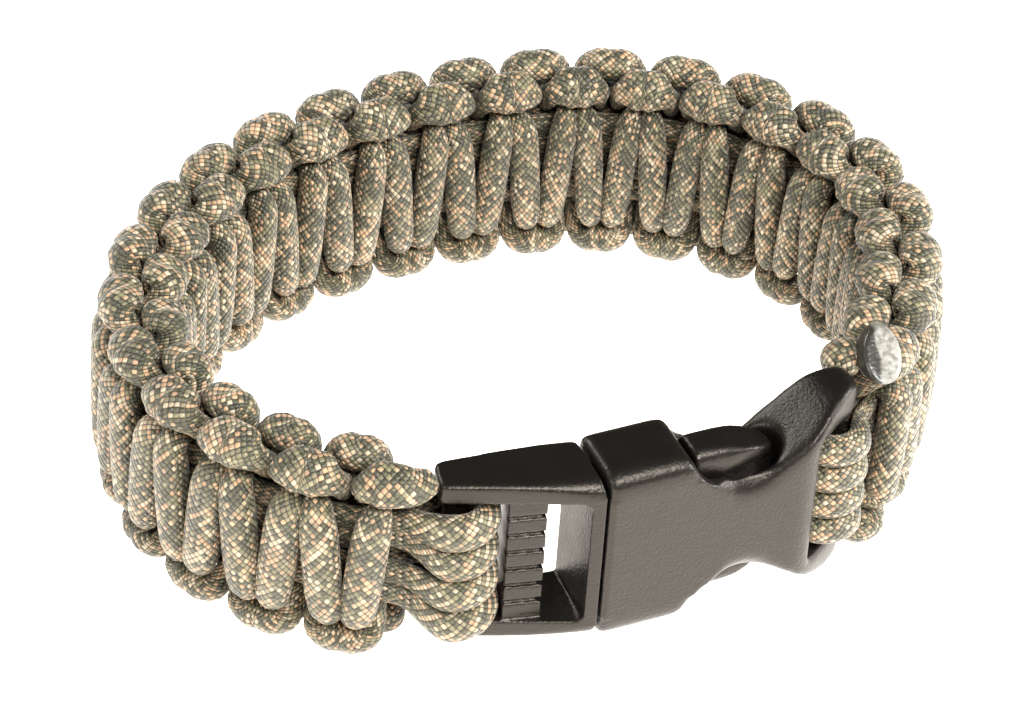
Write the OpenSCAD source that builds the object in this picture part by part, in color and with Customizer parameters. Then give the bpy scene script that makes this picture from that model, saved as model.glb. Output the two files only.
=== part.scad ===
// Paracord bracelet, a closed loop lying on its side edge.
// A woven band of two working strands round four core cords, closed by a curved side-release buckle.
// X runs along the buckle, Y towards the back of the loop, Z up through the wrist opening.

/* [Parts] */
// Part shown

/* [Weave] */
// Number of knots along the band
knots = 45; // [21:2:61]
// Step from knot to knot on the middle line
knot_step = 4; // [3.6:0.02:5]
// Bare core between the plug bar and the first knot
bare_plug = 6.3; // [5.5:0.1:12]
// Bare core between the last knot and the socket bar
bare_socket = 5.1; // [5:0.1:12]
// Room between neighbouring bar strands
bar_room = 0.24; // [0.15:0.01:0.6]
// Thickness of a squeezed strand where it crosses the band
strand_thick = 3.16; // [2.6:0.02:3.2]
// Room between the core and the bar strands
core_slack = 0.4; // [0.35:0.05:1]
// Sides of a strand
strand_sides = 8; // [6:1:12]

/* [Core] */
// Width of one core cord in the band
core_cord = 2.9; // [2.4:0.05:3.4]
// Room left beside the cords between the rails
rail_room = 0.9; // [0.5:0.05:1.6]
// Thickness of a core layer in the band
core_thick = 1.5; // [1.2:0.05:2]
// Thickness of a core layer at the bars
core_thick_bar = 2.9; // [2:0.05:3.4]

/* [Buckle] */
// Width of the buckle
buckle_width = 20.4; // [16:0.1:26]
// Thickness of the buckle at the mouth
buckle_thick = 8.6; // [6:0.1:11]
// Place of the mouth, left to right
mouth_x = -2.72; // [-8:0.01:8]
// Place of the mouth, front to back
mouth_y = -31.94; // [-45:0.01:-24]
// Turn of each buckle half from the straight line, degrees
half_turn = 6.1; // [0:0.1:14]
// Width of a rail of the plug and of a side wall of the socket
rail = 2.3; // [1.8:0.1:3]
// Length of the plug from the mouth to the plain bar
plug_reach = 13.9; // [13:0.1:20]
// Length of the socket's front plate
plate_length = 24; // [22:0.1:28]
// Length of the socket from the mouth to its bar
socket_reach = 27.5; // [25:0.1:34]
// Radius of the two cord bars
bar_radius = 1.35; // [1:0.05:1.8]
// Gap kept between neighbouring pieces
gap = 0.25; // [0.1:0.01:0.4]

/* [Hidden] */
half_w = buckle_width / 2;
half_t = buckle_thick / 2;
inner_w = half_w - rail;
core_cord_bar = (inner_w - rail_room) / 2;
loop_length = knots * knot_step + bare_plug + bare_socket;
// Sizes of the weave: a bar lies over the core, and a bump goes round its edge.
bar_half = (knot_step - bar_room) / 2;
bar_thick = strand_thick / 2;
bar_lift = core_thick + gap / 2 + core_slack + bar_thick;
bump_lift = 0.583 * bar_lift;
bump_reach = 2 * core_cord + 2.85 * bar_thick;
bump_half = 1.29 * bar_half;
bump_thick = 1.16 * bar_thick;
// The core's edge, that the thickness of a strand looks away from.
core_edge = 1.9 * core_cord;
grow = 1 / sqrt(cos(180 / strand_sides));
// Half height of the band: the highest corner of a bump's middle ring.
bump_turn = atan2(bump_lift, bump_reach - core_edge);
band_half = bump_reach + grow * max([for (j = [0:strand_sides - 1]) let (q = (j + 0.5) * 360 / strand_sides)
    bump_thick * cos(bump_turn) * sin(q) + bump_half * sin(bump_turn) * cos(q)]);
mid_z = band_half;
black = [0.07, 0.07, 0.075];
cord_green = [0.42, 0.44, 0.36];
cord_tan = [0.55, 0.50, 0.40];

// The two cord bars in plan.
function turned(v, a) = [v[0] * cos(a) - v[1] * sin(a), v[0] * sin(a) + v[1] * cos(a)];
socket_bar_at = [socket_reach, 0.105 * buckle_thick];
plug_bar = [mouth_x, mouth_y] + turned([-plug_reach, 0], -half_turn);
socket_bar = [mouth_x, mouth_y] + turned(socket_bar_at, half_turn);

// Middle line: seven equal arcs from bar to bar, turned by these angles before they are closed up.
turns = [56.9, 62.1, 41.5, 22.9, 46.8, 62.2, 36.2];
arc_count = len(turns);
arc_length = loop_length / arc_count;
function arc_move(s, turn, d) =
    let (r = arc_length / (turn * PI / 180), h2 = s[2] - turn * d / arc_length)
    [s[0] + r * (sin(s[2]) - sin(h2)), s[1] + r * (cos(h2) - cos(s[2])), h2];
// Start of each arc and the end of the last, with all turns multiplied by q.
function joints(q, x, y, h) = [
    for (i = 0, s = [x, y, h]; i <= arc_count;
        s = arc_move(s, turns[min(i, arc_count - 1)] * q, arc_length), i = i + 1) s
];
function chord(q) = let (e = joints(q, 0, 0, 0)[arc_count]) norm([e[0], e[1]]);
// The share of the turns at which the line just spans the two bars.
function close_up(lo, hi, n) = let (m = (lo + hi) / 2)
    n == 0 ? m : chord(m) > norm(socket_bar - plug_bar) ? close_up(m, hi, n - 1) : close_up(lo, m, n - 1);
share = close_up(0.85, 1.06, 26);
span = socket_bar - plug_bar;
loose_end = joints(share, 0, 0, 0)[arc_count];
first_heading = atan2(span[1], span[0]) - atan2(loose_end[1], loose_end[0]);
arc_starts = joints(share, plug_bar[0], plug_bar[1], first_heading);
function at(d) =
    let (i = max(0, min(arc_count - 1, floor(d / arc_length))))
    arc_move(arc_starts[i], turns[i] * share, d - i * arc_length);
// A point d along the middle line, w up from it and n outward from it.
function place(d, w, n) =
    let (a = at(d)) [a[0] - n * sin(a[2]), a[1] + n * cos(a[2]), mid_z + w];

// One crossing of the band edge, from the end of a bar to the top of the bump after it.
// Columns: along the band, across it, outward, half width, half thickness.
edge_rise = [
    [0, 0.35 * bump_reach, bar_lift, bar_half, bar_thick],
    [-0.036 * knot_step, 0.698 * bump_reach, 0.915 * bar_lift, 0.973 * bar_half, 1.095 * bar_thick],
    [-0.274 * knot_step, 0.704 * bump_reach, 0.166 * bar_lift, 0.437 * bar_half, 0.916 * bar_thick],
    [-0.211 * knot_step, 0.99 * bump_reach, -1.07 * bump_lift, 0.973 * bar_half, 0.778 * bar_thick],
    [0.5 * knot_step, bump_reach, -bump_lift, bump_half, bump_thick]
];
function mirrored(r) = [knot_step - r[0], r[1], r[2], r[3], r[4]];
edge_turn = concat(edge_rise, [for (i = [3:-1:0]) mirrored(edge_rise[i])]);

// Rings of a working strand: side 1 starts on the outer face, side -1 on the inner one.
function strand_rings(side) = [
    for (k = [0:knots - 2]) let (up = (k % 2 == 0 ? 1 : -1) * side)
        for (r = edge_turn)
            [(k + 0.5) * knot_step + r[0], up * r[1], side * r[2], r[3], r[4]]
];
// The half bump each strand begins and ends with, and the blunt tip that closes it.
tip = [0.8 * knot_step, 0.95 * bump_reach, -0.9 * bump_lift, 0.55 * bump_half, 0.6 * bump_thick];
half_bump = concat(edge_rise, [tip]);
function lead_in(side) = [
    for (i = [(side < 0 ? 4 : 5):-1:0]) let (r = half_bump[i])
        [knot_step / 2 - r[0], -side * r[1], side * r[2], r[3], r[4]]
];
function lead_out(side) = [
    for (r = half_bump)
        [(knots - 0.5) * knot_step + r[0], (knots % 2 == 0 ? -side : side) * r[1], side * r[2], r[3], r[4]]
];
// The end of the second strand that runs on to the nose of the plug.
nose_lead = [
    [-0.77 * (bare_plug - 2.1), 0.9 * bump_reach, 0.1 * bar_lift, 0.85 * bar_half, 0.9 * bar_thick],
    [-0.4 * (bare_plug - 2.1), 0.96 * bump_reach, 0.45 * bar_lift, 1.15 * bar_half, 1.1 * bar_thick]
];
function strand_path(side) =
    concat(side < 0 ? nose_lead : [], lead_in(side), strand_rings(side), lead_out(side));

function unit(v) = v / norm(v);
function hold(x, lim) = max(-lim, min(lim, x));
// Points of one ring, turned so that its thickness looks away from the core.
function ring(path, i, sides) =
    let (
        n = len(path), c = path[i], a = path[max(0, i - 1)], b = path[min(n - 1, i + 1)],
        t = unit([b[0] - a[0], b[1] - a[1], b[2] - a[2]]),
        away = unit([0, c[1] - hold(c[1], core_edge), c[2]]),
        e2 = unit(away - (away * t) * t),
        e1 = cross(t, e2)
    )
    [for (j = [0:sides - 1]) let (
        q = (j + 0.5) * 360 / sides,
        v = e1 * (c[3] * grow * cos(q)) + e2 * (c[4] * grow * sin(q))
    ) place(bare_plug + c[0] + v[0], c[1] + v[1], c[2] + v[2])];

// A closed skin over rings of equal size, capped at both ends.
module skin(rings) {
    m = len(rings[0]);
    n = len(rings);
    polyhedron(
        points = [for (r = rings) for (p = r) p],
        faces = concat(
            [for (i = [0:n - 2]) for (j = [0:m - 1]) let (k = (j + 1) % m)
                [i * m + j, (i + 1) * m + k, i * m + k]],
            [for (i = [0:n - 2]) for (j = [0:m - 1]) let (k = (j + 1) % m)
                [i * m + j, (i + 1) * m + j, (i + 1) * m + k]],
            [for (j = [1:m - 2]) [0, j, j + 1]],
            [for (j = [1:m - 2]) [(n - 1) * m, (n - 1) * m + j + 1, (n - 1) * m + j]]
        )
    );
}

module strand_a() {
    color(cord_green) strand(1);
}

module strand_b() {
    color(cord_tan) strand(-1);
}

module strand(side) {
    path = strand_path(side);
    skin([for (i = [0:len(path) - 1]) ring(path, i, strand_sides)]);
}

// Four cords side by side as one section: [across, outward] for a cord width and thickness.
function four_cords(wide, thick) = concat(
    [[-2 * wide, 0]],
    [for (i = [0:3]) for (q = [125, 55])
        [(i - 1.5) * wide + wide / 2 * cos(q), thick / 2 * sin(q)]],
    [[2 * wide, 0]],
    [for (i = [3:-1:0]) for (q = [-55, -125])
        [(i - 1.5) * wide + wide / 2 * cos(q), thick / 2 * sin(q)]]
);
// Stations of the core: [along, outward, direction of the section, cord width, cord thickness].
wrap_r = bar_radius + gap + core_thick_bar / 2;
inner_lift = core_thick / 2 + gap / 2;
function ease(x) = let (q = max(0, min(1, x))) q * q * (3 - 2 * q);
function spread(d) = let (k = ease(min(d / bare_plug, (loop_length - d) / bare_socket)))
    [wrap_r + (inner_lift - wrap_r) * k, core_cord_bar + (core_cord - core_cord_bar) * k,
     core_thick_bar + (core_thick - core_thick_bar) * k];
core_stops = concat(
    [for (i = [0:3]) bare_plug * i / 4],
    [for (i = [0:23]) bare_plug + knots * knot_step * i / 23],
    [for (i = [3:-1:0]) loop_length - bare_socket * i / 4]);
function layer(side, stops) = [for (d = stops) let (v = spread(d))
    [d, side * v[0], side > 0 ? 90 : -90, v[1], v[2]]];
function wrap(centre, way) = [for (q = [60:-30:-60])
    [centre + way * wrap_r * cos(q), wrap_r * sin(q) * way, way > 0 ? q : 180 + q, core_cord_bar, core_thick_bar]];
function reversed(v) = [for (i = [len(v) - 1:-1:0]) v[i]];
core_path = concat(layer(1, core_stops), wrap(loop_length, 1), layer(-1, reversed(core_stops)), wrap(0, -1));

module core_cords() {
    m = 18;
    rings = [for (c = core_path) [for (p = four_cords(c[3], c[4]))
        place(c[0] + p[1] * cos(c[2]), p[0], c[1] + p[1] * sin(c[2]))]];
    n = len(rings);
    color(cord_tan)
        polyhedron(
            points = [for (r = rings) for (p = r) p],
            faces = concat(
                [for (i = [0:n - 1]) for (j = [0:m - 1]) let (k = (j + 1) % m, g = (i + 1) % n)
                    [i * m + j, g * m + k, i * m + k]],
                [for (i = [0:n - 1]) for (j = [0:m - 1]) let (k = (j + 1) % m, g = (i + 1) % n)
                    [i * m + j, g * m + j, g * m + k]]
            )
        );
}

// The cut and melted end of a strand, pressed flat on the top edge near the socket.
module melted_end() {
    d = bare_plug + (knots - 0.35) * knot_step;
    p = place(d, 0, 0.6 * bump_lift);
    reach = 0.8 * knot_step;
    color([0.25, 0.26, 0.22])
        translate([p[0], p[1], mid_z + band_half + 0.1 * gap])
            rotate([0, 0, at(d)[2]])
                difference() {
                    scale([1, 0.8, 0.66])
                        intersection() {
                            sphere(r = reach, $fn = 20);
                            translate([-2 * reach, -2 * reach, 0]) cube(4 * reach);
                        }
                    // The face that was pressed flat while it was soft.
                    rotate([-20, 18, 0]) translate([-2 * reach, -2 * reach, 0.44 * reach]) cube(4 * reach);
                }
}

// Shapes of the buckle halves, each drawn with its mouth at the origin and X towards the socket.
function arc_pts(cx, cy, r, a0, a1, n) = [for (i = [0:n]) let (a = a0 + (a1 - a0) * i / n)
    [cx + r * cos(a), cy + r * sin(a)]];
function flip_y(v) = [for (i = [len(v) - 1:-1:0]) [v[i][0], -v[i][1]]];
// Solid standing on the XZ plane of a buckle half, from y0 to y1.
module front_plate(pts, y0, y1) {
    translate([0, y1, 0]) rotate([90, 0, 0]) linear_extrude(height = y1 - y0) polygon(pts);
}
// Solid from a side section in XY, as wide as the buckle.
module side_plate(pts, w) {
    translate([0, 0, -w]) linear_extrude(height = 2 * w) polygon(pts);
}
// Rounded bar along X with section in YZ.
module rounded_run(x0, x1, hy, hz, r) {
    translate([x0, 0, 0]) rotate([90, 0, 90]) linear_extrude(height = x1 - x0)
        polygon(concat(
            arc_pts(hy - r, hz - r, r, 0, 90, 6), arc_pts(-hy + r, hz - r, r, 90, 180, 6),
            arc_pts(-hy + r, -hz + r, r, 180, 270, 6), arc_pts(hy - r, -hz + r, r, 270, 360, 6)));
}

// Outline of the socket seen from the front, upper half: mouth block, thumb cut-out and ear.
ear_end = socket_reach + 0.147 * buckle_width;
ear_w = 1.16 * half_w;
ear_from = 0.8 * plate_length;
// The socket stands a little proud of the plug, and its cut-outs run up into the ears in a soft ramp.
socket_w = 1.05 * half_w;
socket_t = half_t + 0.03 * buckle_thick;
thumb_w = 0.635 * half_w;
ramp_start = 0.72 * plate_length;
ramp_end = ear_end - 2.6;
socket_top = concat(
    [[0, socket_w - 0.5], [0.5, socket_w], [0.35 * plate_length, socket_w], [0.383 * plate_length, 0.965 * socket_w]],
    [[0.413 * plate_length, 0.88 * half_w], [0.446 * plate_length, 0.75 * half_w]],
    [[0.49 * plate_length, 0.665 * half_w], [0.56 * plate_length, thumb_w]],
    [for (i = [0:9]) let (k = i / 9)
        [ramp_start + (ramp_end - ramp_start) * k, thumb_w + (ear_w - thumb_w) * ease(k)]],
    arc_pts(ear_end - 2.2, ear_w - 2.2, 2.2, 80, 0, 6)
);
// Section of the socket seen from above: thick mouth, ears that lean back past the front plate.
socket_side = concat(
    [[0, -socket_t + 0.4], [0.5, -socket_t], [plate_length - 1.6, -socket_t + 0.2], [plate_length, -socket_t + 0.8]],
    [[ear_end - 3.2, -0.32 * socket_t], [ear_end - 0.9, 0.04 * socket_t], [ear_end, 0.44 * socket_t]],
    [[ear_end - 0.6, 0.84 * socket_t], [ear_end - 2.3, socket_t], [0.5, socket_t], [0, socket_t - 0.4]]
);
// Walls of the socket and the room they leave for the prongs.
plate = 0.163 * buckle_thick;
slot = half_t - plate;
head_start = 0.41 * plate_length;
head_end = 0.87 * plate_length;
cord_start = socket_reach - bar_radius - core_thick_bar - 3 * gap;
edge_round = 0.23 * buckle_thick;
head_room = concat([[head_start, -slot]], arc_pts(head_end - slot, 0, slot, -90, 90, 8), [[head_start, slot]]);

// Thumb scoop that slopes from the front plate into a side cut-out.
module thumb_scoop(front, side) {
    r = 0.61 * half_w;
    lean = 52;
    foot = [0.66 * plate_length, front * socket_t, side * 0.42 * half_w];
    translate(foot) rotate([front * side * (90 - lean), 0, 0])
        translate([0, front * r, 0]) cylinder(h = 4 * half_w, r = r, center = true, $fn = 60);
}

module buckle_socket() {
    outline = concat(reversed(socket_top), flip_y(reversed(socket_top)));
    color(black)
        translate([mouth_x, mouth_y, mid_z]) rotate([0, 0, half_turn])
            union() {
                difference() {
                    intersection() {
                        front_plate(outline, -socket_t, socket_t);
                        side_plate(socket_side, ear_w);
                        union() {
                            rounded_run(0, ear_from, socket_t, socket_w, edge_round);
                            rounded_run(ear_from - 0.1, ear_end + 1, socket_t, ear_w, 0.8 * edge_round);
                        }
                    }
                    for (front = [-1, 1]) for (side = [-1, 1]) thumb_scoop(front, side);
                    // Room for the prongs, open at the mouth.
                    box([-1, -slot, -inner_w], [head_start + 1, slot, inner_w]);
                    // Room for the heads of the prongs, open in the side cut-outs and round at the end.
                    side_plate(head_room, ear_w + 1);
                    // Room for the cords behind the front plate and round the bar.
                    box([cord_start, -slot, -inner_w], [ear_end + 1, half_t + 1, inner_w]);
                    box([plate_length + 0.1, -half_t - 1, -inner_w], [ear_end + 1, 0, inner_w]);
                }
                translate([socket_bar_at[0], socket_bar_at[1], -inner_w - 0.2])
                    cylinder(h = 2 * inner_w + 0.4, r = bar_radius, $fn = 40);
            }
}

module box(a, b) {
    translate(a) cube(b - a);
}

// Outline of one rail of the plug frame seen from above, past the mouth where it is cut off.
nose = 0.256 * buckle_thick;
nose_round = 0.9;
nose_end = -plug_reach - 2.1;
plug_side = concat(
    [[2, -half_t], [2, half_t], [-1, half_t - 0.1]],
    arc_pts(nose_end + nose_round, nose - nose_round, nose_round, 100, 180, 4),
    arc_pts(nose_end + nose_round, -nose + nose_round, nose_round, 180, 260, 4),
    [[-1, -half_t + 0.1]]
);
// Window between the rails: rounded at the mouth, open at the end where the band comes in.
window_end = -0.7;
window_lean = 1.4;
window_front = concat(
    [[nose_end - 1, -inner_w]],
    arc_pts(window_end - 1.2, -inner_w + 1.2, 1.2, -90, 0, 5), arc_pts(window_end - 1.2, inner_w - 1.2, 1.2, 0, 90, 5),
    [[nose_end - 1, inner_w]]
);
window_side = [
    [nose_end - 1, -half_t - 1], [window_end + 0.16, -half_t - 1],
    [window_end - window_lean - 0.16, half_t + 1], [nose_end - 1, half_t + 1]
];

// A prong: a straight arm that ends in a bullet-shaped head in the socket's side cut-out.
prong_in = inner_w - 2.7;
prong_out = inner_w - gap - 0.05;
prong_half = slot - 2 * gap;
module prong(side) {
    tip = head_end - 0.7;
    start = head_start + 2 * gap;
    head = [
        [0, prong_in], [tip - 6.4, prong_in], [tip - 5.6, 0.64 * half_w], [tip - 2.6, 0.65 * half_w],
        [tip - 0.5, 0.62 * half_w], [tip, 0.67 * half_w], [tip - 0.8, 0.745 * half_w],
        [tip - 3, 0.83 * half_w], [tip - 6, 0.9 * half_w], [start + 0.6, 0.92 * half_w],
        [start, 0.89 * half_w], [start, prong_out], [0, prong_out]
    ];
    plan = [
        [0, -prong_half], [tip - 5, -prong_half], [tip - 2, -0.8 * prong_half], [tip - 0.6, -0.45 * prong_half],
        [tip, 0], [tip - 0.6, 0.45 * prong_half], [tip - 2, 0.8 * prong_half], [tip - 5, prong_half], [0, prong_half]
    ];
    intersection() {
        front_plate(side > 0 ? head : flip_y(head), -prong_half, prong_half);
        side_plate(plan, half_w);
        rounded_run(-1, tip + 1, prong_half, 0.925 * half_w, 0.7 * prong_half);
    }
}

module buckle_plug() {
    color(black)
        translate([mouth_x, mouth_y, mid_z])
            union() {
                difference() {
                    rotate([0, 0, -half_turn]) difference() {
                        intersection() {
                            side_plate(plug_side, half_w);
                            rounded_run(nose_end - 1, 3, half_t, half_w, 0.21 * buckle_thick);
                        }
                        intersection() {
                            front_plate(window_front, -half_t - 1, half_t + 1);
                            side_plate(window_side, half_w);
                        }
                    }
                    // The face that meets the mouth of the socket.
                    rotate([0, 0, half_turn]) box([-gap, -2 * half_t, -half_w - 1], [8, 2 * half_t, half_w + 1]);
                }
                rotate([0, 0, -half_turn]) {
                    translate([-plug_reach, 0, -inner_w - 0.3])
                        cylinder(h = 2 * inner_w + 0.6, r = bar_radius, $fn = 40);
                    ribbed_bar();
                }
                rotate([0, 0, half_turn]) {
                    // Tongue and prongs inside the socket.
                    box([-0.9, -prong_half, -prong_out], [1.6, prong_half, prong_out]);
                    box([0, -1.6, -1.4], [0.46 * plate_length, 1.6, 1.4]);
                    prong(1);
                    prong(-1);
                }
            }
}

// Ribbed bar in the middle of the window.
module ribbed_bar() {
    ribs = 7;
    rib = 2 * inner_w / ribs;
    far = -plug_reach + bar_radius + gap + core_thick_bar + 0.4;
    union() {
        box([far, -2.2, -inner_w - 0.3], [far + 3.6, 1.8, inner_w + 0.3]);
        for (i = [0:ribs - 1])
            box([far, -2.7, -inner_w + rib * (i + 0.12)], [far + 4.0, 2.0, -inner_w + rib * (i + 0.88)]);
    }
}

buckle_plug();
buckle_socket();
core_cords();
strand_a();
strand_b();
melted_end();
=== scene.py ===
# %% [markdown]
# # A knotted cord bracelet with a side-release buckle
#
# The bracelet is a loop of speckled parachute cord. Two working strands are knotted round four
# core cords, and a curved black buckle closes the loop. It lies on its side edge on a white table.
# The solid model gives every size. Here each cord gets its woven sheath, the buckle gets its
# moulded skin, and a camera and soft light show it as a small product.

# %% Load the frame
import bpy
import math
from functools import partial
from mathutils import Vector, Matrix


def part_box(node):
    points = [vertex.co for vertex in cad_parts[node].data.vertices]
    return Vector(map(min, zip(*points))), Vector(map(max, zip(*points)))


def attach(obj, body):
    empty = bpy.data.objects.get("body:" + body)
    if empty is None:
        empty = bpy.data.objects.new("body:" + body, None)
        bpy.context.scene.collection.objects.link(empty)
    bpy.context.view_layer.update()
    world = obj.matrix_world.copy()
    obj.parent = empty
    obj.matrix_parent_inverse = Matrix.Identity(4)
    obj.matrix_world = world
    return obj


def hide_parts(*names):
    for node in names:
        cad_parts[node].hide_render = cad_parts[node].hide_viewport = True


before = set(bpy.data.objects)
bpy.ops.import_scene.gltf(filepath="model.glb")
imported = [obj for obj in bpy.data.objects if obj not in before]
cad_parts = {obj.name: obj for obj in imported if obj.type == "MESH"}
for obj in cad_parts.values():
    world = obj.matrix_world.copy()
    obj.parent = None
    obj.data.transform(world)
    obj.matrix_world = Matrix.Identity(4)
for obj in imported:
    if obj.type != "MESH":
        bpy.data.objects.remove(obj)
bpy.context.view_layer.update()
print("nodes:", sorted(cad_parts))

# %% [markdown]
# ## Sizes that the cords share
#
# The cords follow the same middle line as the solid model: seven arcs from the plug's bar round to
# the socket's bar. Repeating the few numbers here keeps the finished cords exactly where their
# solids are. Lengths are in millimetres, and metres come in only when a mesh is made.

# %% Length and height of the band
per_metre = 1000
# Knots of the band, and the bare core cords at its two ends
knots = 45
knot_step = 4.0
bare_plug = 6.3
bare_socket = 5.1
loop_length = knots * knot_step + bare_plug + bare_socket
strand_low, strand_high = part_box("strand_a")
mid_z = (strand_low.z + strand_high.z) / 2 * per_metre
print("loop length %.1f mm, half height of the band %.2f mm" % (loop_length, mid_z))

# %% [markdown]
# ## The middle line
#
# A band of knots bends evenly, so a few arcs of equal length follow it well. Each arc turns by its
# own angle, and one shared factor on all the angles makes the last arc end at the socket's bar. That
# factor is found by halving, because no simple formula gives it.

# %% Arcs
turns = [56.9, 62.1, 41.5, 22.9, 46.8, 62.2, 36.2]
arc_length = loop_length / len(turns)


def arc_move(start, turn, d):
    """The place and heading d along an arc that turns by turn degrees over its whole length."""
    x, y, heading = start
    before = math.radians(heading)
    after = before - math.radians(turn) * d / arc_length
    r = arc_length / math.radians(turn)
    return (x + r * (math.sin(before) - math.sin(after)),
            y + r * (math.cos(after) - math.cos(before)),
            math.degrees(after))


def arc_ends(share, start):
    """The start of each arc and the end of the last, with every turn multiplied by share."""
    ends = [start]
    for turn in turns:
        ends.append(arc_move(ends[-1], turn * share, arc_length))
    return ends


print(len(turns), "arcs of %.2f mm" % arc_length)

# %% The buckle's two bars
# The halves meet at the mouth, and each is turned about it, so that the buckle is curved.
mouth = (-2.72, -31.94)
half_turn = 6.1
plug_reach = 13.9
socket_reach = 27.5
buckle_thick = 8.6


def from_mouth(x, y, degrees):
    """The point x, y of a half of the buckle, which is turned about the mouth."""
    a = math.radians(degrees)
    return (mouth[0] + x * math.cos(a) - y * math.sin(a),
            mouth[1] + x * math.sin(a) + y * math.cos(a))


plug_bar = from_mouth(-plug_reach, 0, -half_turn)
socket_bar = from_mouth(socket_reach, 0.105 * buckle_thick, half_turn)
span_x = socket_bar[0] - plug_bar[0]
span_y = socket_bar[1] - plug_bar[1]
print("from bar to bar: %.2f mm" % math.hypot(span_x, span_y))

# %% Close the loop
too_open = 0.85
too_tight = 1.06
for attempt in range(40):
    share = (too_open + too_tight) / 2
    end_x, end_y, end_heading = arc_ends(share, (0, 0, 0))[-1]
    if math.hypot(end_x, end_y) > math.hypot(span_x, span_y):
        too_open = share
    else:
        too_tight = share
first_heading = math.degrees(math.atan2(span_y, span_x) - math.atan2(end_y, end_x))
arc_starts = arc_ends(share, plug_bar + (first_heading,))


def place(d, w, n):
    """The point d along the band, w up across it and n outward from it, in metres."""
    i = max(0, min(len(turns) - 1, int(math.floor(d / arc_length))))
    x, y, heading = arc_move(arc_starts[i], turns[i] * share, d - i * arc_length)
    h = math.radians(heading)
    return Vector((x - n * math.sin(h), y + n * math.cos(h), mid_z + w)) / per_metre


print("band ends at", [round(per_metre * v, 2) for v in place(loop_length, 0, 0)])

# %% [markdown]
# ## A tube that follows a cord
#
# A real cord is a woven sheath over loose yarns, so it squashes where it is pulled tight. A curve
# with a bevel would be quicker, but it keeps one section all along. So each cord is swept as a tube
# whose section changes on the way: wide and flat over the core, narrow where two strands squeeze
# past each other, and round in the bumps at the edges. The tube carries a UV map that runs along
# the cord and round it, because the sheath's pattern has to follow the cord.

# %% Sweep helper
def tube(name, rings, along, closed_loop=False):
    """A tube from rings of points, with U along the cord in metres and V round it from 0 to 1."""
    sides = len(rings[0])
    steps = len(rings) if closed_loop else len(rings) - 1
    faces, corners = [], []
    # Four-sided faces join each ring to the next, and every corner gets its own UV.
    for i in range(steps):
        here = i * sides
        there = (i + 1) % len(rings) * sides
        for j in range(sides):
            k = (j + 1) % sides
            faces.append((here + j, here + k, there + k, there + j))
            u0, u1, v0, v1 = along[i], along[i + 1], j / sides, (j + 1) / sides
            corners += [(u0, v0), (u0, v1), (u1, v1), (u1, v0)]
    if not closed_loop:
        # One face closes each end. The first one is turned round, so that both point outwards.
        last = steps * sides
        faces.append(tuple(reversed(range(sides))))
        faces.append(tuple(range(last, last + sides)))
        corners += [(along[0], 0.5)] * sides + [(along[-1], 0.5)] * sides
    mesh = bpy.data.meshes.new(name)
    mesh.from_pydata([point for ring in rings for point in ring], [], faces)
    layer = mesh.uv_layers.new(name="cord")
    for corner, uv in zip(layer.data, corners):
        corner.uv = uv
    for face in mesh.polygons:
        face.use_smooth = True
    mesh.update()
    # A shell that is inside out has a volume below zero.
    volume = sum(mesh.vertices[f.vertices[0]].co.dot(f.normal) * f.area for f in mesh.polygons)
    if volume < 0:
        mesh.flip_normals()
    piece = bpy.data.objects.new(name, mesh)
    bpy.context.collection.objects.link(piece)
    print("%s: %d rings, %d faces" % (name, len(rings), len(mesh.polygons)))
    return piece


def ring_step(ring, last_ring):
    """The way from one ring to the next on the outside of a bend, which is the side that shows."""
    return max((a - b).length for a, b in zip(ring, last_ring))


# %% Curve through key sections
def smooth_path(keys, parts):
    """A cubic curve through every key, with parts steps from key to key."""
    out = []
    for i in range(len(keys) - 1):
        around = keys[max(0, i - 1)], keys[i], keys[i + 1], keys[min(len(keys) - 1, i + 2)]
        for step in range(parts):
            t = step / parts
            out.append([0.5 * (2 * q + (r - p) * t + (2 * p - 5 * q + 4 * r - s) * t * t
                               + (3 * q - p - 3 * r + s) * t ** 3)
                        for p, q, r, s in zip(*around)])
    out.append(list(keys[-1]))
    return out


print("halfway from 0 to 1:", smooth_path([[0.0], [1.0]], 2)[1])

# %% [markdown]
# ## The two working strands
#
# This is the usual flat knot of such bracelets. Strand A makes every bar on the outer face, and dives
# to the inner side at the edges. Strand B is its mirror: it makes the bars on the inner face, and its
# loops are the bumps that show outside along both edges. At each edge the two pass through each other
# as a tight X, so their sections are narrow there. The bars lean a little, in pairs.

# %% Bars and bumps
# A bar fills its step along the band, apart from a little room.
strand_thick = 3.16
bar_room = 0.24
# The core cords that a bar lies on, with a little slack and a gap
core_cord = 2.9
core_thick = 1.5
core_slack = 0.4
gap = 0.25

bar_half = (knot_step - bar_room) / 2
bar_thick = strand_thick / 2
bar_lift = core_thick + gap / 2 + core_slack + bar_thick
bump_half = 1.29 * bar_half
bump_thick = 1.16 * bar_thick
bump_lift = 0.583 * bar_lift
bump_reach = 2 * core_cord + 2.85 * bar_thick
print("bars stand %.2f mm out, bumps reach %.2f mm across" % (bar_lift, bump_reach))

# %% One crossing of the band edge
# Columns: along the band, across it, outward, half width, half thickness.
edge_rise = [
    [-0.08 * knot_step, 0.35 * bump_reach, 1.0 * bar_lift, 0.94 * bar_half, 1.08 * bar_thick],
    [-0.17 * knot_step, 0.62 * bump_reach, 0.88 * bar_lift, 0.82 * bar_half, 1.03 * bar_thick],
    [-0.27 * knot_step, 0.69 * bump_reach, 0.13 * bar_lift, 0.46 * bar_half, 0.92 * bar_thick],
    [-0.11 * knot_step, 0.95 * bump_reach, -0.98 * bump_lift, 0.84 * bar_half, 0.84 * bar_thick],
    [0.15 * knot_step, bump_reach, -1.07 * bump_lift, 1.0 * bump_half, 0.99 * bump_thick],
    [0.5 * knot_step, bump_reach, -bump_lift, bump_half, bump_thick],
]
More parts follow.
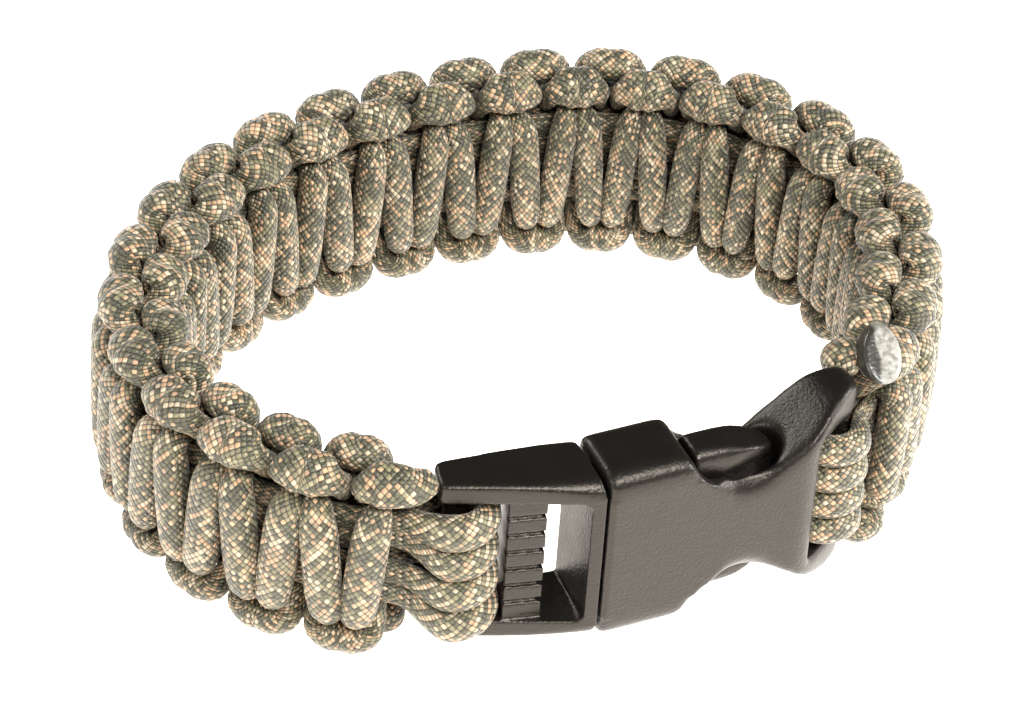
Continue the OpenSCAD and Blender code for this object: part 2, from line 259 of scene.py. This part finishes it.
# The way back is the same, mirrored about the top of the bump, which is the last row.
edge_turn = edge_rise + [[knot_step - row[0]] + row[1:] for row in edge_rise[-2::-1]]
# The blunt end of a strand in the weave, and the way of strand B past the nose of the plug
tips = [
    [0.8 * knot_step, 0.95 * bump_reach, -0.9 * bump_lift, 0.72 * bump_half, 0.72 * bump_thick],
    [0.93 * knot_step, 0.92 * bump_reach, -0.85 * bump_lift, 0.12 * bump_half, 0.12 * bump_thick],
]
lead = bare_plug - 2.1
nose_lead = [
    [-0.77 * lead, 0.9 * bump_reach, 0.1 * bar_lift, 0.85 * bar_half, 0.9 * bar_thick],
    [-0.4 * lead, 0.96 * bump_reach, 0.45 * bar_lift, 1.15 * bar_half, 1.1 * bar_thick],
]
print("one turn round the edge has", len(edge_turn), "key sections")

# %% The way of a strand through all knots
def strand_keys(side):
    """Key sections of a strand: side 1 has its bars on the outer face, side -1 on the inner one."""
    first = edge_rise if side < 0 else edge_rise + tips
    keys = [[knot_step / 2 - d, -side * w, side * n, half, thick] for d, w, n, half, thick in first[::-1]]
    if side < 0:
        keys = nose_lead + keys
    # After each bar the strand turns round the other edge of the band.
    for k in range(knots - 1):
        up = side if k % 2 == 0 else -side
        keys += [[(k + 0.5) * knot_step + d, up * w, side * n, half, thick]
                 for d, w, n, half, thick in edge_turn]
    last = -side if knots % 2 == 0 else side
    keys += [[(knots - 0.5) * knot_step + d, last * w, side * n, half, thick]
             for d, w, n, half, thick in edge_rise + tips]
    return keys


print("key sections:", len(strand_keys(1)), "and", len(strand_keys(-1)))

# %% Both strands
# Inside this line a bar lies flat on the core, and past it the strand turns round the core's edge.
core_edge = 1.9 * core_cord


def strand(name, side, parts=4, sides=22):
    """Sweep one strand. Its thin direction points away from the core at every section."""
    path = smooth_path(strand_keys(side), parts)
    rings, along, centres = [], [0.0], []
    for i, (d, w, n, half, thick) in enumerate(path):
        behind, ahead = path[max(0, i - 1)], path[min(len(path) - 1, i + 1)]
        way = Vector([ahead[axis] - behind[axis] for axis in range(3)]).normalized()
        away = Vector((0, w - max(-core_edge, min(core_edge, w)), n)).normalized()
        thin_way = (away - way * away.dot(way)).normalized()
        wide_way = way.cross(thin_way)
        ring = []
        for j in range(sides):
            q = 2 * math.pi * j / sides
            v = wide_way * (half * math.cos(q)) + thin_way * (thick * math.sin(q))
            ring.append(place(bare_plug + d + v.x, w + v.y, n + v.z))
        if rings:
            along.append(along[-1] + ring_step(ring, rings[-1]))
        rings.append(ring)
        centres.append(place(bare_plug + d, w, n))
    cord = sum((a - b).length for a, b in zip(centres, centres[1:]))
    print("%s: %.2f m of cord" % (name, cord))
    return tube(name, rings, along)


strand_a = strand("strand_a_sheath", 1)
strand_b = strand("strand_b_sheath", -1)
for piece, node in ((strand_a, "strand_a"), (strand_b, "strand_b")):
    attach(piece, "root")
    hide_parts(node)

# %% [markdown]
# ## The core cords
#
# Four cords lie side by side inside the band. They come out at each end, spread a little, and go
# round the buckle's bars. Only these ends show, so they get the sheath too. One flat bundle would
# fill the same room, as it does in the solid. But each cord is its own tube here, because on the
# real band the light falls into the grooves between them.

# %% Section of the core cords
# A cord on the buckle's bar is thicker, and the four of them share the room between the rails.
bar_radius = 1.35
core_thick_bar = 2.9
buckle_width = 20.4
rail = 2.3
rail_room = 0.9
core_cord_bar = (buckle_width / 2 - rail - rail_room) / 2
wrap_r = bar_radius + gap + core_thick_bar / 2
inner_lift = core_thick / 2 + gap / 2


def ease(x):
    """A soft step from 0 to 1."""
    q = max(0.0, min(1.0, x))
    return q * q * (3 - 2 * q)


def core_section(d):
    """How far out a core cord lies at d, its width and its thickness."""
    k = ease(min(d / bare_plug, (loop_length - d) / bare_socket))
    return (wrap_r + (inner_lift - wrap_r) * k,
            core_cord_bar + (core_cord - core_cord_bar) * k,
            core_thick_bar + (core_thick - core_thick_bar) * k)


print("on the bar %.2f mm out, in the band %.2f mm" % (core_section(0)[0], core_section(loop_length / 2)[0]))

# %% Stations round both bars
# How far each cord leaves its even place in front of the plug's bar, and its half width there
fan_across = [-1.95, -1.45, -1.1, -0.35]
fan_out = [0.55, 0.35, 0.15, 0.15]
fan_half = [2.0, 2.0, 1.9, 2.2]
# How far it leaves that place where it goes into the band
band_across = [-0.6, -0.75, 1.2, 0.2]
# The fan is fully open up to fan_hold from the bar, and is closed before the band's first knot.
fan_hold = 0.8
fan_run = bare_plug - 2.0
# Round the plug's bar it opens while the angle falls, as a soft step that starts at 100 degrees.
fan_angle = 100
fan_sweep = 190
bare_steps = 12
band_steps = 90
bar_angles = range(80, -90, -10)

band_length = loop_length - bare_plug - bare_socket
stops = [bare_plug * i / bare_steps for i in range(bare_steps)]
stops += [bare_plug + band_length * i / band_steps for i in range(band_steps + 1)]
stops += [loop_length - bare_socket * i / bare_steps for i in reversed(range(bare_steps))]
# Columns: along, outward, direction of the section in degrees, width, thickness, share of the fan.
core_path = []
for d in stops:
    n, wide, thick = core_section(d)
    core_path.append((d, n, 90, wide, thick, 1 - ease((d - fan_hold) / fan_run)))
for q in bar_angles:
    a = math.radians(q)
    core_path.append((loop_length + wrap_r * math.cos(a), wrap_r * math.sin(a), q,
                      core_cord_bar, core_thick_bar, 0.0))
for d in reversed(stops):
    n, wide, thick = core_section(d)
    core_path.append((d, -n, -90, wide, thick, 0.0))
for q in bar_angles:
    a = math.radians(q)
    core_path.append((-wrap_r * math.cos(a), -wrap_r * math.sin(a), 180 + q,
                      core_cord_bar, core_thick_bar, ease((fan_angle - q) / fan_sweep)))
# A tube starts in the middle of the band, where the weave hides its seam.
hidden = bare_steps + band_steps // 2
core_path = core_path[hidden:] + core_path[:hidden]
print("stations of a core cord:", len(core_path))

# %% The four core cords
# Half a cord's width as a share of its room: a little over one half, so that neighbours touch
half_share = 0.52


def core_cord_tube(index, sides=18):
    """Sweep one core cord as a closed loop."""
    name = "core_cord_%d" % (index + 1)
    rings, along, centres = [], [0.0], []
    for d, n, way, wide, thick, fan in core_path:
        a = math.radians(way)
        across = (index - 1.5) * wide + fan * fan_across[index]
        if way == 90:
            across += band_across[index] * (1 - fan) * ease((2 * bare_plug - d) / bare_plug)
        half = half_share * wide * (1 - fan) + fan * fan_half[index]
        lift = fan * fan_out[index]
        ring = []
        for j in range(sides):
            # The seam of the UV map lies on the side of the bar, three quarters round.
            q = 2 * math.pi * (j / sides + 0.75)
            out = lift + 0.5 * thick * math.sin(q)
            ring.append(place(d + out * math.cos(a), across + half * math.cos(q), n + out * math.sin(a)))
        if rings:
            along.append(along[-1] + ring_step(ring, rings[-1]))
        rings.append(ring)
        centres.append(place(d, across, n))
    along.append(along[-1] + (rings[0][0] - rings[-1][0]).length)
    cord = sum((a - b).length for a, b in zip(centres, centres[1:]))
    print("%s: %.2f m of cord" % (name, cord))
    return tube(name, rings, along, closed_loop=True)


core_cords = [core_cord_tube(index) for index in range(4)]
for piece in core_cords:
    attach(piece, "root")
    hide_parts("core_cords")

# %% [markdown]
# ## Helpers for materials
#
# A procedural material is a net of small nodes. A few helpers keep the net readable: one starts a
# material, one adds a sum or a product, and others add a noise, a random draw or bumps. All noises
# read Object coordinates, whose unit is the metre, so a scale counts grains per metre.

# %% Start, values and sums
def new_material(name):
    """A new material with its nodes, its links and its main shader."""
    material = bpy.data.materials.new(name)
    material.use_nodes = True
    tree = material.node_tree
    print("material", name)
    return material, tree.nodes, tree.links, tree.nodes["Principled BSDF"]


def set_inputs(node, values):
    """Write plain values into a node's inputs, by name."""
    for name, value in values.items():
        node.inputs[name].default_value = value


def connect(links, node, values):
    """Fill a node's first inputs with plain numbers or with links."""
    for socket, value in zip(node.inputs, values):
        if isinstance(value, (int, float)):
            socket.default_value = value
        else:
            links.new(value, socket)


def math_node(nodes, links, operation, *values):
    """The result of one operation on numbers and links."""
    node = nodes.new("ShaderNodeMath")
    node.operation = operation
    connect(links, node, values)
    return node.outputs[0]


# %% Noise, draws and bumps
def noise(nodes, links, scale, detail=2.0):
    """A soft noise about 0.5, with scale grains in a metre."""
    coord = nodes.new("ShaderNodeTexCoord")
    texture = nodes.new("ShaderNodeTexNoise")
    set_inputs(texture, {"Scale": scale, "Detail": detail})
    links.new(coord.outputs["Object"], texture.inputs["Vector"])
    return texture.outputs[0]


def random_draw(nodes, links, x, y, z):
    """One random value from 0 to 1 for each whole-number place x, y, z."""
    key = nodes.new("ShaderNodeCombineXYZ")
    connect(links, key, (x, y, z))
    draw = nodes.new("ShaderNodeTexWhiteNoise")
    links.new(key.outputs[0], draw.inputs["Vector"])
    return draw.outputs["Value"]


def add_bumps(nodes, links, shader, height, strength, distance):
    """Small bumps on a shader, where a height of 1 stands distance metres out."""
    bump = nodes.new("ShaderNodeBump")
    set_inputs(bump, {"Strength": strength, "Distance": distance})
    links.new(height, bump.inputs["Height"])
    links.new(bump.outputs[0], shader.inputs["Normal"])


# %% [markdown]
# ## The woven sheath
#
# The sheath is braided from sixteen yarns that wind to the left and sixteen that wind to the right, so
# it shows rows of small slanted cells. Neighbouring cells belong to different yarns, and the yarns are
# dyed olive, olive grey, beige, tan and cream. Yarns made as meshes would need far too many faces, so the
# weave is a pattern: two sets of slanted stripes on the cord's own UV map. Their crossing gives the
# cells, a random draw gives each run of cells its yarn's colour, and the stripes' height gives the
# small bumps that catch the light.
# The stripes' height also gives painted shade, which darkens each cell towards the grooves between cells.

# %% The braid's cells
cells_round = 32
cell_length = 0.00086
# A cell's number can be below zero, and a remainder needs one above it.
far_up = 8192.0
# Cells in a row that keep one colour, and how far that run is shifted from yarn to yarn
run_cells = 5.0
run_shift = 2.7


def braid(nodes, links):
    """The height of the braid, and the row, column, yarn, run and side of the cell at a point."""
    calc = partial(math_node, nodes, links)
    uv = nodes.new("ShaderNodeUVMap")
    uv.uv_map = "cord"
    part = nodes.new("ShaderNodeSeparateXYZ")
    links.new(uv.outputs[0], part.inputs[0])
    along = calc("DIVIDE", part.outputs[0], cell_length)
    around = calc("MULTIPLY", part.outputs[1], cells_round / 2)
    # Both sets of stripes slant, one with the way round the cord and one against it.
    rising = calc("ADD", along, around)
    falling = calc("SUBTRACT", along, around)
    rising_cell = calc("FLOOR", rising)
    falling_cell = calc("FLOOR", falling)
    # A cell swells in the middle and falls off to its four sides.
    height = calc("MULTIPLY",
                  calc("SINE", calc("MULTIPLY", calc("FRACT", rising), math.pi)),
                  calc("SINE", calc("MULTIPLY", calc("FRACT", falling), math.pi)))
    row = calc("ADD", rising_cell, falling_cell)
    across = calc("SUBTRACT", rising_cell, falling_cell)
    column = calc("MODULO", calc("ADD", across, far_up), float(cells_round))
    # Every second cell shows a yarn that winds to the left, the others one that winds to the right.
    left = calc("MODULO", calc("ADD", row, far_up), 2.0)
    right = calc("SUBTRACT", 1.0, left)
    turn = calc("ADD", calc("MULTIPLY", falling_cell, left), calc("MULTIPLY", rising_cell, right))
    yarn = calc("MODULO", calc("ADD", turn, far_up), cells_round / 2)
    run = calc("FLOOR", calc("DIVIDE", calc("ADD", row, calc("MULTIPLY", yarn, run_shift)), run_cells))
    return height, row, column, yarn, run, left


print("a cell is %.2f mm long" % (cell_length * per_metre))

# %% Dyed yarns
# Where each colour starts in a draw from 0 to 1: dark olive, olive grey, beige, tan, cream
yarn_colours = [
    (0.0, (0.054, 0.050, 0.025)),
    (0.36, (0.134, 0.117, 0.061)),
    (0.60, (0.216, 0.184, 0.108)),
    (0.69, (0.348, 0.219, 0.120)),
    (0.88, (0.372, 0.301, 0.198)),
]


def yarn_ramp(nodes, links, draw):
    """The colour of the yarn that a draw picks."""
    ramp = nodes.new("ShaderNodeValToRGB")
    ramp.color_ramp.interpolation = "CONSTANT"
    while len(ramp.color_ramp.elements) < len(yarn_colours):
        ramp.color_ramp.elements.new(0.5)
    for element, (start, colour) in zip(ramp.color_ramp.elements, yarn_colours):
        element.position = start
        element.color = colour + (1.0,)
    links.new(draw, ramp.inputs[0])
    return ramp.outputs[0]


print("yarn colours:", len(yarn_colours))

# %% Sheath material
# Dye comes in patches a few millimetres long, so whole areas lean to green or to tan.
patch_scale = 420.0
patch_shift = 0.9
# The darkest painted shade in a groove and the darkest cell, and how much a draw can add to each
groove_shade_darkest = 0.06
groove_shade_spread = 0.26
cell_dark = 0.70
cell_more = 0.60


def sheath(name, seed):
    """A braided sheath. The seed gives each cord its own draws."""
    material, nodes, links, shader = new_material(name)
    calc = partial(math_node, nodes, links)
    height, row, column, yarn, run, left = braid(nodes, links)
    patch = calc("MULTIPLY", calc("SUBTRACT", noise(nodes, links, patch_scale), 0.5), patch_shift)
    draw = random_draw(nodes, links, yarn, run, calc("ADD", left, seed))
    colour = yarn_ramp(nodes, links, calc("ADD", draw, patch))
    # Each cell is a little lighter or darker than its yarn, and painted shade darkens the grooves between
    # cells.
    spot = random_draw(nodes, links, row, column, seed)
    groove_shade = nodes.new("ShaderNodeMapRange")
    groove_shade.interpolation_type = "SMOOTHSTEP"
    set_inputs(groove_shade, {"From Min": 0.0, "From Max": 0.5, "To Max": 1.0})
    links.new(height, groove_shade.inputs["Value"])
    links.new(calc("MULTIPLY_ADD", spot, groove_shade_spread, groove_shade_darkest), groove_shade.inputs["To Min"])
    light = calc("MULTIPLY", groove_shade.outputs[0], calc("MULTIPLY_ADD", spot, cell_more, cell_dark))
    grey = nodes.new("ShaderNodeCombineColor")
    connect(links, grey, (light, light, light))
    shade = nodes.new("ShaderNodeMix")
    shade.data_type = "RGBA"
    shade.blend_type = "MULTIPLY"
    set_inputs(shade, {"Factor": 1.0})
    links.new(colour, shade.inputs["A"])
    links.new(grey.outputs[0], shade.inputs["B"])
    links.new(shade.outputs["Result"], shader.inputs["Base Color"])
    add_bumps(nodes, links, shader, height, 0.8, 0.00016)
    set_inputs(shader, {"Roughness": 0.45, "Specular IOR Level": 0.4,
                        "Sheen Weight": 0.12, "Sheen Roughness": 0.4})
    return material


strand_a.data.materials.append(sheath("sheath_outer_bars", 1.0))
strand_b.data.materials.append(sheath("sheath_inner_bars", 2.0))
sheath_core = sheath("sheath_core", 3.0)
for piece in core_cords:
    piece.data.materials.append(sheath_core)

# %% [markdown]
# ## The moulded buckle
#
# The buckle is black acetal from a spark-eroded mould: every edge is soft, and the skin has a fine
# orange peel. The solids have sharp edges, because such sizes are easier to state. So each one is
# copied, its loose triangles are merged, and a voxel remesh with some smoothing rounds its edges by
# about a third of a millimetre. The outer edges and the prongs' heads are smoothed again, to about
# one millimetre. That is quicker than a bevel on every edge, and flat faces stay flat.

# %% Copy of a solid in one skin
def voxel_copy(name, node_name, voxel):
    """A copy of a CAD node, merged and remeshed in cubes of one size."""
    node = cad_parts[node_name]
    mesh = node.data.copy()
    mesh.transform(node.matrix_world)
    piece = bpy.data.objects.new(name, mesh)
    bpy.context.collection.objects.link(piece)
    bpy.ops.object.select_all(action="DESELECT")
    piece.select_set(True)
    bpy.context.view_layer.objects.active = piece
    bpy.ops.object.mode_set(mode="EDIT")
    bpy.ops.mesh.select_all(action="SELECT")
    bpy.ops.mesh.remove_doubles(threshold=0.000002)
    bpy.ops.mesh.normals_make_consistent(inside=False)
    bpy.ops.object.mode_set(mode="OBJECT")
    remesh = piece.modifiers.new("voxels", "REMESH")
    remesh.mode = "VOXEL"
    remesh.voxel_size = voxel
    bpy.ops.object.modifier_apply(modifier="voxels")
    piece.data.materials.clear()
    print("%s: %d faces" % (name, len(piece.data.polygons)))
    return piece


def smooth_over(piece, rounds, group=""):
    """Smooth a piece, or one group of its points, a number of times."""
    soften = piece.modifiers.new("soften", "SMOOTH")
    soften.factor = 0.5
    soften.iterations = rounds
    soften.vertex_group = group
    bpy.ops.object.modifier_apply(modifier="soften")


# %% Round its edges
def rounded_copy(name, node_name, voxel, rounds, more_rounds=0, from_x=0.0, from_edge=0.0):
    """A copy with soft edges, softer past from_x and further than from_edge from the middle height."""
    piece = voxel_copy(name, node_name, voxel / per_metre)
    if more_rounds:
        middle = (piece.bound_box[0][2] + piece.bound_box[6][2]) / 2
        group = piece.vertex_groups.new(name="round")
        chosen = [v.index for v in piece.data.vertices
                  if v.co.x > from_x / per_metre or abs(v.co.z - middle) > from_edge / per_metre]
        group.add(chosen, 1.0, "REPLACE")
    smooth_over(piece, rounds)
    if more_rounds:
        smooth_over(piece, more_rounds, "round")
    bpy.ops.object.shade_smooth()
    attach(piece, "root")
    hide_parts(node_name)
    return piece


# The plug's ribs stay crisp. Its prongs, the far part of the socket and all outer edges are softer.
plug_skin = rounded_copy("buckle_plug_skin", "buckle_plug", voxel=0.16, rounds=4,
                         more_rounds=60, from_x=mouth[0] + 4, from_edge=8.6)
socket_skin = rounded_copy("buckle_socket_skin", "buckle_socket", voxel=0.20, rounds=14,
                           more_rounds=110, from_x=mouth[0] + 14, from_edge=7.8)

# %% Moulded plastic material
def moulded(name):
    """Black plastic with a fine orange peel on soft waves."""
    material, nodes, links, shader = new_material(name)
    peel = noise(nodes, links, 3000.0)
    wave = noise(nodes, links, 420.0, detail=3.0)
    height = math_node(nodes, links, "MULTIPLY_ADD", wave, 0.5, peel)
    add_bumps(nodes, links, shader, height, 0.4, 0.00014)
    rough = nodes.new("ShaderNodeMapRange")
    links.new(wave, rough.inputs["Value"])
    set_inputs(rough, {"To Min": 0.30, "To Max": 0.42})
    links.new(rough.outputs[0], shader.inputs["Roughness"])
    set_inputs(shader, {"Base Color": (0.004, 0.0035, 0.0029, 1.0), "Specular IOR Level": 0.33,
                        "Specular Tint": (1.0, 0.89, 0.77, 1.0)})
    return material


plastic = moulded("moulded_black_plastic")
for piece in (plug_skin, socket_skin):
    piece.data.materials.append(plastic)
for name in ("buckle_plug", "buckle_socket", "core_cords", "strand_a", "strand_b"):
    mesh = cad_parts[name].data
    mesh.materials.clear()
    mesh.materials.append(plastic if name.startswith("buckle") else sheath_core)
    print(name, "gets", mesh.materials[0].name)

# %% [markdown]
# ## The melted end
#
# The maker cut the cord, melted its end and pressed it flat against the edge. The nylon ran dark and
# glossy on one side, and went pale where it was pressed. Such a drop could be sculpted by hand, but
# the solid already has its place and tilt. So it is rounded in the same way as the buckle and
# stretched, and one wavy border across it parts the dark from the pale.

# %% Shape of the drop
melted = rounded_copy("melted_end_skin", "melted_end", voxel=0.13, rounds=29)
low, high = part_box("melted_end")
middle = (low + high) / 2
# The drop is longer than it is wide, and it sank between the loops before it set.
narrower, longer, deeper = 0.90, 1.45, 1.75
for v in melted.data.vertices:
    v.co.x = middle.x + narrower * (v.co.x - middle.x)
    v.co.y = middle.y + longer * (v.co.y - middle.y)
    v.co.z = high.z - deeper * (high.z - v.co.z)
print("melted end at", [round(per_metre * v, 1) for v in middle])

# %% Melted nylon material
# In metres: how far the border swings to and fro, and how wide it is
border_swing = 0.0012
border_width = 0.0004


def melted_nylon(name, pale_side):
    """Dark glassy nylon, pale past a wavy border through the middle of the drop."""
    material, nodes, links, shader = new_material(name)
    coord = nodes.new("ShaderNodeTexCoord")
    across = nodes.new("ShaderNodeVectorMath")
    across.operation = "DOT_PRODUCT"
    links.new(coord.outputs["Object"], across.inputs[0])
    across.inputs[1].default_value = pale_side
    waves = noise(nodes, links, 500.0)
    wavy = math_node(nodes, links, "MULTIPLY_ADD", waves, border_swing, across.outputs["Value"])
    border = nodes.new("ShaderNodeMapRange")
    border.interpolation_type = "SMOOTHSTEP"
    links.new(wavy, border.inputs["Value"])
    border_at = middle.dot(pale_side)
    set_inputs(border, {"From Min": border_at, "From Max": border_at + border_width})
    grain = noise(nodes, links, 1500.0)
    pale = nodes.new("ShaderNodeValToRGB")
    darker, lighter = pale.color_ramp.elements
    darker.position = 0.38
    darker.color = (0.13, 0.122, 0.10, 1)
    lighter.position = 0.62
    lighter.color = (0.25, 0.243, 0.215, 1)
    links.new(grain, pale.inputs[0])
    tone = nodes.new("ShaderNodeMix")
    tone.data_type = "RGBA"
    tone.inputs["A"].default_value = (0.022, 0.020, 0.015, 1)
    links.new(border.outputs[0], tone.inputs["Factor"])
    links.new(pale.outputs[0], tone.inputs["B"])
    links.new(tone.outputs["Result"], shader.inputs["Base Color"])
    add_bumps(nodes, links, shader, grain, 0.8, 0.0001)
    set_inputs(shader, {"Roughness": 0.3})
    return material


nylon = melted_nylon("melted_nylon", Vector((0.99, -0.12, 0.0)))
melted.data.materials.append(nylon)
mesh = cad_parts["melted_end"].data
mesh.materials.clear()
mesh.materials.append(nylon)

# %% [markdown]
# ## Table, light and camera
#
# The picture is a bright product shot: the table and what is behind it are almost white, and the
# light is soft and comes from above, in front. A photographed sky could light it too, but a wide
# pale floor and four area lights are easier to steer. The key light shapes the bars, the two side
# lights open the ends, and the one behind draws the top edge of the far side. The table glows,
# because the real one was lit until it went pure white. That glow lights the cords' undersides and
# the buckle's upright faces. The sky is almost dark, so the buckle's top, which mirrors it, stays
# black. The camera looks down at 39 degrees from in front and left, with a long lens. Its angles
# were fitted to the picture, so that the render can be laid over it.

# %% Floor
bpy.ops.object.select_all(action="DESELECT")
bpy.ops.mesh.primitive_plane_add(size=6.0, location=(0, 0, 0))
floor = bpy.context.active_object
floor.name = "floor"
material, nodes, links, shader = new_material("white_table")
set_inputs(shader, {"Base Color": (0.93, 0.92, 0.90, 1), "Roughness": 0.85,
                    "Emission Color": (1.0, 0.93, 0.83, 1), "Emission Strength": 2.05})
floor.data.materials.append(material)

# %% Light
world = bpy.data.worlds.new("dim_room")
bpy.context.scene.world = world
world.use_nodes = True
set_inputs(world.node_tree.nodes["Background"], {"Color": (1.0, 0.985, 0.96, 1), "Strength": 0.06})


def softbox(name, at, size, power, aim=(0, 0, 0)):
    """A flat soft light that looks at the point aim."""
    light = bpy.data.lights.new(name, "AREA")
    light.shape = "RECTANGLE"
    light.size, light.size_y = size
    light.energy = power
    lamp = bpy.data.objects.new(name, light)
    bpy.context.collection.objects.link(lamp)
    lamp.location = at
    lamp.rotation_euler = (Vector(aim) - Vector(at)).to_track_quat("-Z", "Y").to_euler()
    print("%s: %.1f W" % (name, power))


softbox("key_above_front", at=(0.12, -0.48, 0.68), size=(0.5, 0.3), power=16.0)
softbox("side_right", at=(0.80, -0.15, 0.35), size=(0.4, 0.4), power=10.0, aim=(0, 0, 0.01))
softbox("side_left", at=(-0.70, -0.15, 0.40), size=(0.4, 0.4), power=4.0)
softbox("rim_back_left", at=(-0.45, 0.65, 0.42), size=(0.3, 0.25), power=3.5)

# %% Camera
elevation, roll, yaw = math.radians(39.485), math.radians(-4.091), math.radians(-19.918)
# The focal length is known in pixels of a picture that is 1024 pixels wide.
focal_pixels = 4511.6
picture_pixels = 1024
# The way to the point that it looks at
distance = 0.47766
looks_at = Vector((-0.001739, -0.003121, mid_z / per_metre))
forward = Vector((0, math.cos(elevation), -math.sin(elevation)))
level = Vector((1, 0, 0))
upright = Vector((0, math.sin(elevation), math.cos(elevation)))
right = level * math.cos(roll) - upright * math.sin(roll)
up = level * math.sin(roll) + upright * math.cos(roll)
# The camera's own axes are the columns: to its right, up, and backward.
axes = Matrix.Rotation(yaw, 3, "Z") @ Matrix((right, up, -forward)).transposed()
camera_data = bpy.data.cameras.new("camera")
camera_data.sensor_width = 36.0
camera_data.lens = focal_pixels / picture_pixels * camera_data.sensor_width
camera_data.clip_start = 0.01
camera_data.clip_end = 20.0
camera = bpy.data.objects.new("camera", camera_data)
bpy.context.collection.objects.link(camera)
camera.matrix_world = Matrix.Translation(looks_at + axes.col[2] * distance) @ axes.to_4x4()
bpy.context.scene.camera = camera
bpy.context.scene.view_settings.view_transform = "Standard"
print("camera at", [round(v, 3) for v in camera.matrix_world.translation], "lens", round(camera_data.lens, 1))
